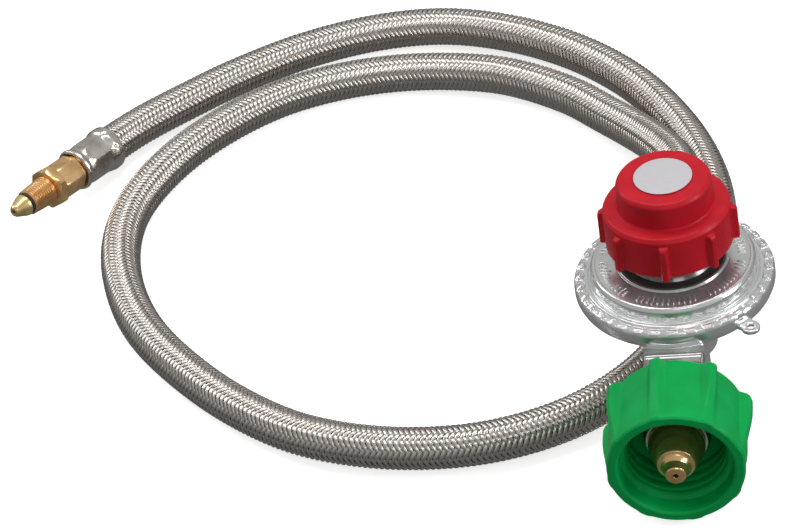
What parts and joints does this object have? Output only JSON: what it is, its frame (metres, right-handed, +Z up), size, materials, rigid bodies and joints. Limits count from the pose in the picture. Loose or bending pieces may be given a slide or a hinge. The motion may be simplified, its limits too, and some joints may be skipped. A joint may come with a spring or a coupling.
{
  "type": "propane regulator hose",
  "caption": "Dial-knob gas regulator with a spinning coupling nut on its inlet nipple, and a braided hose that ends in a threaded orifice fitting.",
  "frame": {"origin": "on the table, under the middle of the regulator's box, without the hose", "axes": "+Z up along the knob's axis, -Y out of the inlet through the coupling nut, +Y out of the outlet, +X to the side of the tie tab"},
  "size_m": [0.3103, 0.3216, 0.0957],
  "materials": {
    "zinc": "die-cast, satin",
    "brass": "turned",
    "steel": "plated",
    "aluminium": "stamped",
    "red_plastic": "moulded, satin",
    "green_plastic": "moulded, satin",
    "black_plastic": "moulded",
    "rubber": "moulded",
    "label": "blank foil label",
    "braid": "steel wire braid over a rubber tube"
  },
  "bodies": {
    "regulator_body": {"body_casting": "zinc", "bonnet": "zinc", "main_spring": "steel", "diaphragm": "rubber", "lever_pin": "steel", "orifice_insert": "brass", "inlet_nipple": "brass", "poppet_retainer": "brass", "poppet_spring": "steel", "thermal_bushing": "black_plastic", "bushing_ring": "steel", "outlet_nipple": "brass", "outlet_tube_end": "rubber", "outlet_ferrule": "steel", "hose": "braid", "far_tube_end": "rubber", "far_ferrule": "steel", "far_nipple": "brass", "orifice_adapter": "brass", "tip_seal_ring": "rubber", "orifice_tip": "brass"},
    "nut": {"coupling_nut": "green_plastic"},
    "button": {"spring_button": "aluminium"},
    "dial": {"knob": "red_plastic", "knob_label": "label"},
    "diaphragm_assembly": {"diaphragm_plate": "aluminium", "support_washer": "aluminium", "diaphragm_stem": "brass"},
    "lever": {"valve_lever": "steel"},
    "plunger": {"valve_plunger": "brass", "seat_disc": "rubber"},
    "poppet": {"excess_flow_poppet": "brass"}
  },
  "joints": [
    {"name": "nut_spin", "type": "hinge", "parent": "regulator_body", "child": "nut", "pos_m": [0, -0.0595, 0.0272], "axis": [0, 1, 0], "continuous": true},
    {"name": "button_slide", "type": "slide", "parent": "regulator_body", "child": "button", "axis": [0, 0, 1], "range_m": [-0.0045, 0], "deforming": ["main_spring"]},
    {"name": "knob_turn", "type": "hinge", "parent": "button", "child": "dial", "pos_m": [0, 0.00585, 0.0872], "axis": [0, 0, 1], "range_deg": [-1080, 0]},
    {"name": "diaphragm_slide", "type": "slide", "parent": "regulator_body", "child": "diaphragm_assembly", "axis": [0, 0, 1], "range_m": [0, 0.0008], "stiffness_N_per_m": 500, "springref_m": -0.003, "deforming": ["diaphragm"]},
    {"name": "lever_pivot", "type": "hinge", "parent": "regulator_body", "child": "lever", "pos_m": [0, 0.01385, 0.0327], "axis": [1, 0, 0], "range_deg": [-5.75, 0]},
    {"name": "plunger_slide", "type": "slide", "parent": "regulator_body", "child": "plunger", "axis": [0, 1, 0], "range_m": [-0.00056, 0]},
    {"name": "poppet_slide", "type": "slide", "parent": "regulator_body", "child": "poppet", "axis": [0, 1, 0], "range_m": [0, 0.0014]}
  ],
  "couplings": [
    {"joint": "knob_turn", "follows": "button_slide", "rad_per_m": 4188.8},
    {"joint": "lever_pivot", "follows": "diaphragm_slide", "rad_per_m": -125},
    {"joint": "plunger_slide", "follows": "diaphragm_slide", "ratio": -0.6875}
  ]
}
